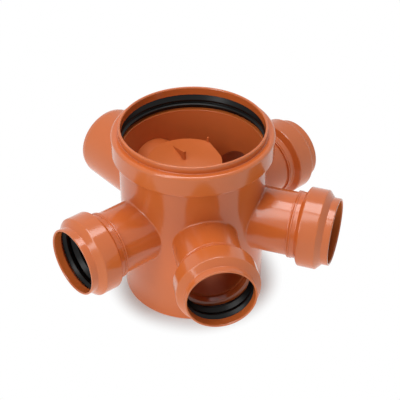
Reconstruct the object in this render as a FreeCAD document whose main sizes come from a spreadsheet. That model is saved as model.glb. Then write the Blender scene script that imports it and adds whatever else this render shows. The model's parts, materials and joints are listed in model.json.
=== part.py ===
import FreeCAD, Part
import math
import os
import Sketcher

# Patio gully trap in moulded PVC-U: a drum-shaped chamber with a ring-seal socket for the riser pipe on top,
# four inlet branches with ring-seal sockets, a plain outlet spigot and a dip trap plugged into the outlet.
# Frame: the chamber's axis is Z, its floor stands on Z = 0 and the outlet points along +Y.

# Driving sizes in millimetres, angles in degrees: name, value, meaning.
SIZES = [
    ("riser_pipe_diameter", 200.0, "outside diameter of the riser pipe"),
    ("riser_play", 0.3, "gap round the riser pipe in its socket"),
    ("riser_seat", 2.0, "straight bore from the seal groove down to the riser pipe's stop"),
    ("riser_stop_width", 1.5, "how much the bore narrows to stop the riser pipe"),
    ("riser_stop_run", 31.0, "height over which it narrows"),
    ("riser_lip_depth", 12.0, "mouth to the seal groove"),
    ("riser_lip_wall", 3.6, "wall of the socket's lip"),
    ("riser_groove_depth", 9.9, "seal groove, outwards from the bore"),
    ("riser_groove_front", 2.5, "run of the groove's front slope"),
    ("riser_groove_band", 21.0, "straight length of the groove's floor"),
    ("riser_groove_back", 3.0, "run of the groove's back slope"),
    ("riser_bead_wall", 4.2, "wall round the seal groove"),
    ("riser_crown_wall", 5.5, "top of the bead above the groove's floor"),
    ("riser_root_wall", 1.6, "root of the lip above the seal groove"),
    ("riser_heel_wall", 4.5, "wall behind the seal groove"),
    ("riser_bead_underrun", 5.0, "height of the shoulder below the bead"),
    ("riser_lead", 1.6, "depth of the mouth's lead-in"),
    ("neck_wall", 5.3, "wall below the riser socket"),
    ("body_draft", 2.3, "how much the chamber narrows down to its foot"),
    ("body_wall", 5.5, "chamber wall at the foot"),
    ("floor_wall", 5.5, "thickness of the floor"),
    ("floor_bevel", 8.0, "slope between floor and wall inside"),
    ("foot_round", 4.0, "round of the foot's edge"),
    ("bead_round", 2.6, "round of the riser bead's lower edge"),
    ("crown_round", 4.5, "round of the riser bead's upper edge"),
    ("lip_bevel", 1.0, "bevel of a socket lip's outer edge"),
    ("inlet_spacing", 60.9, "angle from one inlet to the next"),
    ("inlet_axis_height", 136.0, "floor to the inlets' axes"),
    ("stub_length", 48.4, "chamber wall to an inlet's weld"),
    ("inlet_pipe_diameter", 90.0, "outside diameter of an inlet pipe"),
    ("inlet_play", 0.2, "gap round an inlet pipe in its socket"),
    ("inlet_stop_width", 2.4, "step at the stub's end that stops an inlet pipe"),
    ("inlet_seat", 10.5, "stub's end, which stops the pipe, to the seal groove"),
    ("inlet_root_bevel", 0.6, "bevel of the bore at the stub's end, which gives the weld room"),
    ("inlet_wall", 3.2, "wall of an inlet stub"),
    ("inlet_lip_depth", 12.0, "mouth to the seal groove"),
    ("inlet_lip_wall", 3.1, "wall of the socket's lip"),
    ("inlet_neck_wall", 2.7, "wall of the socket behind the groove"),
    ("inlet_groove_depth", 8.8, "seal groove, outwards from the bore"),
    ("inlet_groove_front", 8.0, "run of the groove's front slope"),
    ("inlet_groove_band", 22.0, "straight length of the groove's floor"),
    ("inlet_groove_back", 5.0, "run of the groove's back slope"),
    ("inlet_bead_wall", 3.2, "wall round the seal groove"),
    ("inlet_bead_front", 2.0, "bead's lead over the groove at the front"),
    ("inlet_bead_back", 1.5, "bead's lead over the groove at the back"),
    ("inlet_lead", 1.5, "depth of the mouth's lead-in"),
    ("stub_blend", 5.0, "blend between a branch and the chamber"),
    ("stub_blend_share", 0.6, "largest share of the room between two inlets that their blends take"),
    ("weld_width", 2.6, "width of one ring of a weld's double bead"),
    ("weld_rise", 2.7, "height of the weld's rings above the stub"),
    ("weld_notch", 0.9, "depth of the notch between the weld's rings"),
    ("outlet_axis_height", 144.5, "floor to the outlet's axis"),
    ("outlet_length", 96.1, "chamber wall to the outlet's end"),
    ("outlet_diameter", 110.0, "outside diameter of the outlet spigot"),
    ("outlet_cover", 27.1, "outlet's crown to the shoulder below the riser bead"),
    ("outlet_wall", 3.2, "wall of the outlet spigot"),
    ("outlet_root", 12.4, "chamber wall to the spigot's straight part"),
    ("outlet_draft", 0.8, "how much the root widens from there to the chamber's axis"),
    ("outlet_chamfer_run", 7.0, "length of the spigot's chamfer"),
    ("outlet_chamfer_drop", 1.9, "depth of the spigot's chamfer"),
    ("seal_play", 0.2, "gap between a seal and its groove"),
    ("seal_lead", 9.1, "groove's start to the seal's first rib"),
    ("seal_rib_width", 1.7, "width of the first rib"),
    ("seal_rib_set", 0.4, "first rib's distance behind the bore"),
    ("seal_heel", 5.3, "sealing lip to the back end of the groove's floor"),
    ("seal_valley_rise", 4.3, "valley's distance behind the bore"),
    ("seal_lip_width", 1.4, "width of the sealing lip's edge"),
    ("seal_flank", 2.8, "run of the sealing lip's back flank"),
    ("trap_play", 0.5, "gap round the trap's spigot in the outlet"),
    ("trap_wall", 4.2, "wall of the trap"),
    ("trap_leg_diameter", 96.0, "outside diameter of the dip leg"),
    ("trap_leg_offset", 12.0, "dip leg's axis ahead of the chamber's axis"),
    ("trap_insertion", 29.4, "chamber wall to the end of the trap's spigot"),
    ("trap_parallel", 45.0, "length of the spigot's straight part"),
    ("trap_neck_step", 1.0, "how much slimmer than the leg the spigot starts on it"),
    ("trap_floor_gap", 32.0, "floor to the dip leg's lower end"),
    ("trap_head", 2.9, "spigot's crown to the dip leg's upper end"),
    ("trap_blend", 3.0, "blend between the trap's leg and spigot"),
    ("ring_thickness", 3.2, "section of the trap's rubber rings"),
    ("ring_bevel", 0.8, "bevel of a rubber ring's edges"),
    ("ring_play", 0.1, "gap round a rubber ring in its groove"),
    ("trap_ring_setback", 12.0, "spigot's end to its ring"),
    ("cap_rim", 1.3, "how far the rodding cap's plate reaches over the leg's outside"),
    ("cap_overhang", 11.0, "how far the plate's back edge reaches over the leg's outside"),
    ("cap_turn", 16.0, "turn of the cap from the outlet's direction"),
    ("cap_wall", 5.0, "thickness of the cap's plate"),
    ("cap_play", 0.3, "gap round the cap's plug in the dip leg"),
    ("cap_plug_depth", 12.0, "depth of the cap's plug"),
    ("cap_plug_wall", 6.0, "wall of the cap's plug"),
    ("cap_ring_setback", 6.5, "leg's upper end to the cap's ring"),
    ("fin_height", 14.0, "height of the grip fin's tall end"),
    ("fin_length", 41.0, "length of the grip fin"),
    ("fin_start", 5.0, "cap's middle to the grip fin's tall end"),
    ("fin_offset", 2.0, "how far the grip fin stands beside the cap's middle"),
    ("fin_thickness", 3.5, "thickness of the grip fin"),
    ("peg_diameter", 3.0, "stop peg at the plate's back corner"),
    ("peg_height", 8.0, "height of the stop peg"),
    ("peg_inset", 2.0, "straight side to the stop peg's axis"),
    ("peg_place", 33.0, "cap's middle to the stop peg, along the straight side"),
]

UP = FreeCAD.Vector(0, 0, 1)
ALONG_X = FreeCAD.Vector(1, 0, 0)
ALONG_Y = FreeCAD.Vector(0, 1, 0)
INLET_COUNT = 4
QUARTER_TURN = 90
FULL_TURN = 360
# Two edges closer than this are taken as the same edge.
TOUCH = 0.01

doc = FreeCAD.newDocument("gully_trap")
sheet = doc.addObject("Spreadsheet::Sheet", "sizes")
for row, (alias, size, meaning) in enumerate(SIZES, start=1):
    sheet.set(f"A{row}", meaning)
    sheet.set(f"B{row}", str(size))
    sheet.setAlias(f"B{row}", alias)
doc.recompute()

# Radii of the chamber, the riser socket and the outlet.
RISER_PIPE = "(sizes.riser_pipe_diameter / 2)"
RISER_BORE = f"({RISER_PIPE} + sizes.riser_play)"
RISER_LIP = f"({RISER_BORE} + sizes.riser_lip_wall)"
RISER_GROOVE = f"({RISER_BORE} + sizes.riser_groove_depth)"
RISER_BEAD = f"({RISER_GROOVE} + sizes.riser_bead_wall)"
BODY_SHOULDER = f"({RISER_BORE} + sizes.neck_wall)"
BODY_FOOT = f"({BODY_SHOULDER} - sizes.body_draft)"
CHAMBER_TOP = f"({RISER_BORE} - sizes.riser_stop_width)"
CHAMBER_FOOT = f"({BODY_FOOT} - sizes.body_wall)"
OUTLET = "(sizes.outlet_diameter / 2)"
OUTLET_BORE = f"({OUTLET} - sizes.outlet_wall)"
OUTLET_END = f"({BODY_SHOULDER} + sizes.outlet_length)"

# Heights of the riser socket, from the outlet's crown upwards.
BEAD_ROOT = f"(sizes.outlet_axis_height + {OUTLET} + sizes.outlet_cover)"
BEAD_BOTTOM = f"({BEAD_ROOT} + sizes.riser_bead_underrun)"
GROOVE_FLOOR_BOTTOM = f"({BEAD_BOTTOM} + sizes.riser_heel_wall)"
GROOVE_BOTTOM = f"({GROOVE_FLOOR_BOTTOM} - sizes.riser_groove_back)"
GROOVE_FLOOR_TOP = f"({GROOVE_FLOOR_BOTTOM} + sizes.riser_groove_band)"
GROOVE_TOP = f"({GROOVE_FLOOR_TOP} + sizes.riser_groove_front)"
MOUTH_LEVEL = f"({GROOVE_TOP} + sizes.riser_lip_depth)"
STOP_LEVEL = f"({GROOVE_BOTTOM} - sizes.riser_seat)"
LIP_ROOT = f"({GROOVE_TOP} + sizes.riser_root_wall)"
BEAD_TOP = f"({GROOVE_FLOOR_TOP} + sizes.riser_crown_wall)"

# Inlet branch: radii, then places along the branch from the chamber's axis outwards.
FIRST_INLET = f"(sizes.inlet_spacing * {(INLET_COUNT - 1) / 2} - {QUARTER_TURN})"
INLET_PIPE = "(sizes.inlet_pipe_diameter / 2)"
INLET_BORE = f"({INLET_PIPE} + sizes.inlet_play)"
STUB_BORE = f"({INLET_BORE} - sizes.inlet_stop_width)"
STUB = f"({STUB_BORE} + sizes.inlet_wall)"
WELD = f"({STUB} + sizes.weld_rise)"
INLET_LIP = f"({INLET_BORE} + sizes.inlet_lip_wall)"
INLET_NECK = f"({INLET_BORE} + sizes.inlet_neck_wall)"
INLET_GROOVE = f"({INLET_BORE} + sizes.inlet_groove_depth)"
INLET_BEAD = f"({INLET_GROOVE} + sizes.inlet_bead_wall)"
INLET_JOINT = f"({BODY_SHOULDER} + sizes.stub_length)"
INLET_GROOVE_END = f"({INLET_JOINT} + sizes.inlet_seat)"
INLET_FLOOR_BACK = f"({INLET_GROOVE_END} + sizes.inlet_groove_back)"
INLET_FLOOR_FRONT = f"({INLET_FLOOR_BACK} + sizes.inlet_groove_band)"
INLET_GROOVE_OPEN = f"({INLET_FLOOR_FRONT} + sizes.inlet_groove_front)"
INLET_MOUTH = f"({INLET_GROOVE_OPEN} + sizes.inlet_lip_depth)"

# The blends of two neighbouring inlets share the chamber wall between them.
HALF_SPACING_SINE = "sin(sizes.inlet_spacing / 2 * 1deg)"
BLEND_ROOM = f"(({BODY_FOOT} * {HALF_SPACING_SINE} - {STUB}) / (1 - {HALF_SPACING_SINE}))"
STUB_BLEND = f"min(sizes.stub_blend; sizes.stub_blend_share * {BLEND_ROOM})"

# Trap and its rodding cap.
TRAP_SPIGOT = f"({OUTLET_BORE} - sizes.trap_play)"
TRAP_SPIGOT_BORE = f"({TRAP_SPIGOT} - sizes.trap_wall)"
TRAP_LEG = "(sizes.trap_leg_diameter / 2)"
TRAP_LEG_BORE = f"({TRAP_LEG} - sizes.trap_wall)"
TRAP_NECK = f"({TRAP_LEG} - sizes.trap_neck_step)"
TRAP_END = f"({BODY_SHOULDER} + sizes.trap_insertion)"
TRAP_TAPER_END = f"({TRAP_END} - sizes.trap_parallel)"
TRAP_TOP = f"(sizes.outlet_axis_height + {TRAP_SPIGOT} + sizes.trap_head)"
TRAP_FOOT = "(sizes.floor_wall + sizes.trap_floor_gap)"
TRAP_RING_PLACE = f"({TRAP_END} - sizes.trap_ring_setback)"
RING_HALF = "(sizes.ring_thickness / 2)"
RING_GROOVE_HALF = f"({RING_HALF} + sizes.ring_play)"
RING_GROOVE_DEPTH = "(sizes.ring_thickness + 2 * sizes.ring_play)"
CAP_SIDE = f"({TRAP_LEG} + sizes.cap_rim)"
CAP_BACK = f"({TRAP_LEG} + sizes.cap_overhang)"
CAP_PLUG = f"({TRAP_LEG_BORE} - sizes.cap_play)"


def value(formula):
    """The number that a formula gives with the sheet's present sizes."""
    return float(sheet.evalExpression(formula))


def origin_feature(body, role):
    """The plane or axis of a body's own origin with the given role."""
    return next(item for item in body.Origin.OriginFeatures if item.Role == role)


def new_body(label):
    """An empty body whose label names the piece."""
    body = doc.addObject("PartDesign::Body", label)
    body.Label = label
    return body


def new_sketch(body, name, plane, raised=None, lifted=None, swung=None):
    """A sketch on a plane of the body, swung about its Y axis, raised along it or lifted off the plane."""
    sketch = body.newObject("Sketcher::SketchObject", name)
    sketch.AttachmentSupport = [(origin_feature(body, plane), "")]
    sketch.MapMode = "FlatFace"
    if swung:
        swing = FreeCAD.Rotation(ALONG_Y, value(swung))
        sketch.AttachmentOffset = FreeCAD.Placement(FreeCAD.Vector(), swing)
        sketch.setExpression("AttachmentOffset.Rotation.Angle", swung)
    if raised:
        sketch.setExpression("AttachmentOffset.Base.y", raised)
    if lifted:
        sketch.setExpression("AttachmentOffset.Base.z", lifted)
    return sketch


def pin_point(sketch, geometry, point, across, up):
    """Ties a point of a sketch to formulas for its place across and up."""
    for direction, formula in (("DistanceX", across), ("DistanceY", up)):
        rule = Sketcher.Constraint(direction, -1, 1, geometry, point, value(formula))
        sketch.setExpression(f"Constraints[{sketch.addConstraint(rule)}]", formula)


def draw_outline(sketch, corners):
    """Draws a closed straight-sided outline through (across, up) formulas."""
    points = [FreeCAD.Vector(value(across), value(up), 0) for across, up in corners]
    ends = zip([points[-1]] + points, points)
    sides = [sketch.addGeometry(Part.LineSegment(start, end)) for start, end in ends]
    for index, (across, up) in enumerate(corners):
        sketch.addConstraint(Sketcher.Constraint("Coincident", sides[index - 1], 2, sides[index], 1))
        pin_point(sketch, sides[index], 2, across, up)
    return sketch


def draw_circle(sketch, across, up, radius):
    """Draws a circle at formulas for its centre and radius."""
    centre = FreeCAD.Vector(value(across), value(up), 0)
    index = sketch.addGeometry(Part.Circle(centre, UP, value(radius)))
    pin_point(sketch, index, 3, across, up)
    number = sketch.addConstraint(Sketcher.Constraint("Radius", index, value(radius)))
    sketch.setExpression(f"Constraints[{number}]", radius)
    return sketch


def turn(body, kind, name, sketch, axis):
    """A full turn of a sketch about its own axis, added (Revolution) or cut (Groove)."""
    feature = body.newObject(f"PartDesign::{kind}", name)
    feature.Profile = (sketch, [""])
    feature.ReferenceAxis = (sketch, [axis])
    feature.Angle = FULL_TURN
    return feature


def extrude(body, kind, name, sketch, length, both_ways=False):
    """A straight Pad or Pocket of a sketch."""
    feature = body.newObject(f"PartDesign::{kind}", name)
    feature.Profile = (sketch, [""])
    feature.setExpression("Length", length)
    feature.Midplane = both_ways
    return feature


def repeat_inlets(body, name, feature):
    """Repeats a feature of the first inlet at the other inlets."""
    pattern = body.newObject("PartDesign::PolarPattern", name)
    pattern.Originals = [feature]
    pattern.Axis = (origin_feature(body, "Z_Axis"), [""])
    pattern.Reversed = True
    pattern.setExpression("Angle", f"sizes.inlet_spacing * {INLET_COUNT - 1}")
    pattern.Occurrences = INLET_COUNT
    body.Tip = pattern
    return pattern


def ring_edges(feature, height, radius):
    """Names of a feature's level circular edges at formulas for their height and radius."""
    names = []
    for number, edge in enumerate(feature.Shape.Edges, start=1):
        if edge.Curve.TypeId != "Part::GeomCircle":
            continue
        rise = abs(edge.Curve.Center.z - value(height))
        if rise < TOUCH and abs(edge.Curve.Radius - value(radius)) < TOUCH:
            names.append(f"Edge{number}")
    return names


def blend_edges(feature):
    """Names of the edges where a branch runs into a round wall."""
    names = []
    for number, edge in enumerate(feature.Shape.Edges, start=1):
        if edge.Curve.TypeId not in ("Part::GeomCircle", "Part::GeomLine"):
            names.append(f"Edge{number}")
    return names


def round_edges(body, name, feature, names, radius):
    """A fillet on named edges of a feature."""
    fillet = body.newObject("PartDesign::Fillet", name)
    fillet.Base = (feature, names)
    fillet.setExpression("Radius", radius)
    doc.recompute()
    return fillet


def inlet_sketch(body, name):
    """A sketch through the first inlet's axis, which lies along the sketch's X axis."""
    return new_sketch(body, name, "XZ_Plane", raised="sizes.inlet_axis_height", swung=FIRST_INLET)


def outlet_sketch(body, name):
    """A sketch through the outlet's axis, which lies along the sketch's X axis."""
    return new_sketch(body, name, "YZ_Plane", raised="sizes.outlet_axis_height")


def place_at_inlet(body, number):
    """Turns a piece modelled along X to the inlet of that number and lifts it to the inlets' axes."""
    angle = f"{FIRST_INLET} - sizes.inlet_spacing * {number - 1}"
    body.Placement = FreeCAD.Placement(FreeCAD.Vector(), FreeCAD.Rotation(UP, value(angle)))
    body.setExpression("Placement.Rotation.Angle", angle)
    body.setExpression("Placement.Base.z", "sizes.inlet_axis_height")


def make_gully_body():
    """Chamber, riser socket, inlet stubs and outlet spigot as one moulding."""
    body = new_body("gully_body")
    outside = draw_outline(new_sketch(body, "chamber_outside", "XZ_Plane"), [
        ("0", "0"),
        (BODY_FOOT, "0"),
        (BODY_SHOULDER, BEAD_ROOT),
        (RISER_BEAD, BEAD_BOTTOM),
        (RISER_BEAD, BEAD_TOP),
        (RISER_LIP, LIP_ROOT),
        (RISER_LIP, f"{MOUTH_LEVEL} - sizes.lip_bevel"),
        (f"{RISER_LIP} - sizes.lip_bevel", MOUTH_LEVEL),
        ("0", MOUTH_LEVEL),
    ])
    drum = turn(body, "Revolution", "chamber_form", outside, "V_Axis")
    doc.recompute()
    for name, height, radius, size in (
            ("bead_rounding", BEAD_BOTTOM, RISER_BEAD, "sizes.bead_round"),
            ("crown_rounding", BEAD_TOP, RISER_BEAD, "sizes.crown_round"),
            ("foot_rounding", "0", BODY_FOOT, "sizes.foot_round")):
        drum = round_edges(body, name, drum, ring_edges(drum, height, radius), size)

    # One stub with its ring of weld bead, then the other inlets and the outlet.
    stub_section = draw_outline(inlet_sketch(body, "stub_outside"), [
        ("0", "0"),
        (INLET_JOINT, "0"),
        (INLET_JOINT, f"{WELD} - sizes.weld_notch"),
        (f"{INLET_JOINT} - sizes.weld_notch", WELD),
        (f"{INLET_JOINT} - sizes.weld_width", WELD),
        (f"{INLET_JOINT} - sizes.weld_width", STUB),
        ("0", STUB),
    ])
    repeat_inlets(body, "stub_forms", turn(body, "Revolution", "stub_form", stub_section, "H_Axis"))
    spigot_section = draw_outline(outlet_sketch(body, "outlet_outside"), [
        ("0", "0"),
        (OUTLET_END, "0"),
        (OUTLET_END, f"{OUTLET} - sizes.outlet_chamfer_drop"),
        (f"{OUTLET_END} - sizes.outlet_chamfer_run", OUTLET),
        (f"{BODY_SHOULDER} + sizes.outlet_root", OUTLET),
        ("0", f"{OUTLET} + sizes.outlet_draft"),
    ])
    form = turn(body, "Revolution", "outlet_form", spigot_section, "H_Axis")
    doc.recompute()
    round_edges(body, "branch_blends", form, blend_edges(form), STUB_BLEND)

    # The hollow: chamber, riser socket with its seal groove, then the bores of the branches.
    inside = draw_outline(new_sketch(body, "chamber_inside", "XZ_Plane"), [
        ("0", "sizes.floor_wall"),
        (f"{CHAMBER_FOOT} - sizes.floor_bevel", "sizes.floor_wall"),
        (CHAMBER_FOOT, "sizes.floor_wall + sizes.floor_bevel"),
        (CHAMBER_TOP, f"{STOP_LEVEL} - sizes.riser_stop_run"),
        (RISER_BORE, STOP_LEVEL),
        (RISER_BORE, GROOVE_BOTTOM),
        (RISER_GROOVE, GROOVE_FLOOR_BOTTOM),
        (RISER_GROOVE, GROOVE_FLOOR_TOP),
        (RISER_BORE, GROOVE_TOP),
        (RISER_BORE, f"{MOUTH_LEVEL} - sizes.riser_lead"),
        (f"{RISER_BORE} + sizes.riser_lead / 2", MOUTH_LEVEL),
        ("0", MOUTH_LEVEL),
    ])
    turn(body, "Groove", "chamber_hollow", inside, "V_Axis")
    stub_hollow = draw_outline(inlet_sketch(body, "stub_inside"), [
        ("0", "0"),
        (INLET_JOINT, "0"),
        (INLET_JOINT, STUB_BORE),
        ("0", STUB_BORE),
    ])
    repeat_inlets(body, "stub_bores", turn(body, "Groove", "stub_bore", stub_hollow, "H_Axis"))
    outlet_hollow = draw_outline(outlet_sketch(body, "outlet_inside"), [
        ("0", "0"),
        (OUTLET_END, "0"),
        (OUTLET_END, OUTLET_BORE),
        ("0", OUTLET_BORE),
    ])
    turn(body, "Groove", "outlet_bore", outlet_hollow, "H_Axis")
    return body


def make_inlet_socket(number):
    """Ring-seal socket moulding, welded to the end of an inlet stub."""
    body = new_body(f"inlet_socket_{number}")
    bead_front = f"({INLET_FLOOR_FRONT} + sizes.inlet_bead_front)"
    bead_back = f"({INLET_FLOOR_BACK} - sizes.inlet_bead_back)"
    lip_root = f"({INLET_GROOVE_OPEN} + sizes.inlet_bead_front)"
    neck_front = f"({INLET_GROOVE_END} - sizes.inlet_bead_back)"
    weld_end = f"({INLET_JOINT} + sizes.weld_width)"
    section = draw_outline(new_sketch(body, f"socket_section_{number}", "XZ_Plane"), [
        (INLET_JOINT, f"{INLET_BORE} + sizes.inlet_root_bevel"),
        (f"{INLET_JOINT} + sizes.inlet_root_bevel", INLET_BORE),
        (INLET_GROOVE_END, INLET_BORE),
        (INLET_FLOOR_BACK, INLET_GROOVE),
        (INLET_FLOOR_FRONT, INLET_GROOVE),
        (INLET_GROOVE_OPEN, INLET_BORE),
        (f"{INLET_MOUTH} - sizes.inlet_lead", INLET_BORE),
        (INLET_MOUTH, f"{INLET_BORE} + sizes.inlet_lead / 2"),
        (INLET_MOUTH, f"{INLET_LIP} - sizes.lip_bevel"),
        (f"{INLET_MOUTH} - sizes.lip_bevel", INLET_LIP),
        (lip_root, INLET_LIP),
        (bead_front, INLET_BEAD),
        (bead_back, INLET_BEAD),
        (neck_front, INLET_NECK),
        (weld_end, INLET_NECK),
        (weld_end, WELD),
        (f"{INLET_JOINT} + sizes.weld_notch", WELD),
        (INLET_JOINT, f"{WELD} - sizes.weld_notch"),
    ])
    turn(body, "Revolution", f"socket_form_{number}", section, "H_Axis")
    place_at_inlet(body, number)
    return body


def seal_section(groove_start, bore, groove, pipe, front, band, back):
    """Section of a lip seal as (depth behind the socket's mouth, radius) formulas."""
    rib_start = f"({groove_start} + sizes.seal_lead)"
    rib_end = f"({rib_start} + sizes.seal_rib_width)"
    rib = f"({bore} + sizes.seal_rib_set)"
    valley = f"({bore} + sizes.seal_valley_rise)"
    floor_start = f"({groove_start} + {front})"
    floor_end = f"({floor_start} + {band})"
    lip_end = f"({floor_end} - sizes.seal_heel)"
    lip_start = f"({lip_end} - sizes.seal_lip_width)"
    valley_share = f"(sizes.seal_valley_rise / ({groove} - {bore}))"
    return [
        (f"{floor_start} + sizes.seal_play", f"{groove} - sizes.seal_play"),
        (f"{floor_end} - sizes.seal_play", f"{groove} - sizes.seal_play"),
        (f"{floor_end} + {back} * (1 - {valley_share}) - 2 * sizes.seal_play", valley),
        (f"{lip_end} + sizes.seal_flank", valley),
        (lip_end, pipe),
        (lip_start, pipe),
        (f"({rib_end} + {lip_start}) / 2", valley),
        (rib_end, rib),
        (rib_start, rib),
        (f"{groove_start} + {front} * {valley_share} + 2 * sizes.seal_play", valley),
    ]


def make_riser_seal():
    """Rubber lip seal of the riser socket."""
    body = new_body("riser_seal")
    section = seal_section("sizes.riser_lip_depth", RISER_BORE, RISER_GROOVE, RISER_PIPE,
                           "sizes.riser_groove_front", "sizes.riser_groove_band", "sizes.riser_groove_back")
    corners = [(radius, f"{MOUTH_LEVEL} - ({depth})") for depth, radius in section]
    sketch = draw_outline(new_sketch(body, "riser_seal_section", "XZ_Plane"), corners)
    turn(body, "Revolution", "riser_seal_form", sketch, "V_Axis")
    return body


def make_inlet_seal(number):
    """Rubber lip seal of an inlet socket."""
    body = new_body(f"inlet_seal_{number}")
    section = seal_section("sizes.inlet_lip_depth", INLET_BORE, INLET_GROOVE, INLET_PIPE,
                           "sizes.inlet_groove_front", "sizes.inlet_groove_band", "sizes.inlet_groove_back")
    corners = [(f"{INLET_MOUTH} - ({depth})", radius) for depth, radius in section]
    sketch = draw_outline(new_sketch(body, f"inlet_seal_section_{number}", "XZ_Plane"), corners)
    turn(body, "Revolution", f"inlet_seal_form_{number}", sketch, "H_Axis")
    place_at_inlet(body, number)
    return body


def make_trap_tee():
    """Dip trap: a spigot that plugs into the outlet and a leg that dips under the water."""
    body = new_body("trap_tee")
    leg = draw_circle(new_sketch(body, "leg_outside", "XY_Plane", lifted=TRAP_FOOT),
                      "0", "sizes.trap_leg_offset", TRAP_LEG)
    extrude(body, "Pad", "leg_form", leg, f"{TRAP_TOP} - {TRAP_FOOT}")
    ring_front = f"({TRAP_RING_PLACE} - {RING_GROOVE_HALF})"
    ring_back = f"({TRAP_RING_PLACE} + {RING_GROOVE_HALF})"
    ring_floor = f"({OUTLET_BORE} - {RING_GROOVE_DEPTH})"
    spigot = draw_outline(outlet_sketch(body, "spigot_outside"), [
        ("sizes.trap_leg_offset", "0"),
        (TRAP_END, "0"),
        (TRAP_END, TRAP_SPIGOT),
        (ring_back, TRAP_SPIGOT),
        (ring_back, ring_floor),
        (ring_front, ring_floor),
        (ring_front, TRAP_SPIGOT),
        (TRAP_TAPER_END, TRAP_SPIGOT),
        ("sizes.trap_leg_offset", TRAP_NECK),
    ])
    form = turn(body, "Revolution", "spigot_form", spigot, "H_Axis")
    doc.recompute()
    round_edges(body, "tee_blend", form, blend_edges(form), "sizes.trap_blend")
    leg_hollow = draw_circle(new_sketch(body, "leg_inside", "XY_Plane", lifted=TRAP_TOP),
                             "0", "sizes.trap_leg_offset", TRAP_LEG_BORE)
    extrude(body, "Pocket", "leg_bore", leg_hollow, f"{TRAP_TOP} - {TRAP_FOOT}")
    spigot_hollow = draw_outline(outlet_sketch(body, "spigot_inside"), [
        ("sizes.trap_leg_offset", "0"),
        (TRAP_END, "0"),
        (TRAP_END, TRAP_SPIGOT_BORE),
        (TRAP_TAPER_END, TRAP_SPIGOT_BORE),
        ("sizes.trap_leg_offset", f"{TRAP_NECK} - sizes.trap_wall"),
    ])
    turn(body, "Groove", "spigot_bore", spigot_hollow, "H_Axis")
    return body


def make_ring(label, seat, across, up, tilt):
    """Rubber ring of bevelled square section inside a seat's radius, its axis tilted from Z towards Y."""
    body = new_body(label)
    outer = f"({seat} - sizes.ring_play)"
    inner = f"({outer} - sizes.ring_thickness)"
    section = draw_outline(new_sketch(body, f"{label}_section", "XZ_Plane"), [
        (inner, f"-{RING_HALF} + sizes.ring_bevel"),
        (f"{inner} + sizes.ring_bevel", f"-{RING_HALF}"),
        (f"{outer} - sizes.ring_bevel", f"-{RING_HALF}"),
        (outer, f"-{RING_HALF} + sizes.ring_bevel"),
        (outer, f"{RING_HALF} - sizes.ring_bevel"),
        (f"{outer} - sizes.ring_bevel", RING_HALF),
        (f"{inner} + sizes.ring_bevel", RING_HALF),
        (inner, f"{RING_HALF} - sizes.ring_bevel"),
    ])
    turn(body, "Revolution", f"{label}_form", section, "V_Axis")
    body.Placement = FreeCAD.Placement(FreeCAD.Vector(), FreeCAD.Rotation(ALONG_X, tilt))
    body.setExpression("Placement.Base.y", across)
    body.setExpression("Placement.Base.z", up)
    return body


def draw_cap_plate(sketch):
    """Draws the cap's plate: a half-round front, two straight sides and a wide arc at the back."""
    middle = FreeCAD.Vector()
    side = value(CAP_SIDE)
    back = value(CAP_BACK)
    corner = math.acos(side / back)
    reach = back * math.sin(corner)
    right = sketch.addGeometry(Part.LineSegment(FreeCAD.Vector(side, 0, 0), FreeCAD.Vector(side, reach, 0)))
    rear = sketch.addGeometry(Part.ArcOfCircle(Part.Circle(middle, UP, back), corner, math.pi - corner))
    left = sketch.addGeometry(Part.LineSegment(FreeCAD.Vector(-side, reach, 0), FreeCAD.Vector(-side, 0, 0)))
    front = sketch.addGeometry(Part.ArcOfCircle(Part.Circle(middle, UP, side), math.pi, 2 * math.pi))
    for first, second in ((right, rear), (rear, left), (left, front), (front, right)):
        sketch.addConstraint(Sketcher.Constraint("Coincident", first, 2, second, 1))
    for line in (right, left):
        sketch.addConstraint(Sketcher.Constraint("Vertical", line))
    pin_point(sketch, rear, 3, "0", "0")
    pin_point(sketch, front, 3, "0", "0")
    pin_point(sketch, right, 1, CAP_SIDE, "0")
    sketch.addConstraint(Sketcher.Constraint("PointOnObject", left, 2, -1))
    number = sketch.addConstraint(Sketcher.Constraint("Radius", rear, back))
    sketch.setExpression(f"Constraints[{number}]", CAP_BACK)
    return sketch


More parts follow.
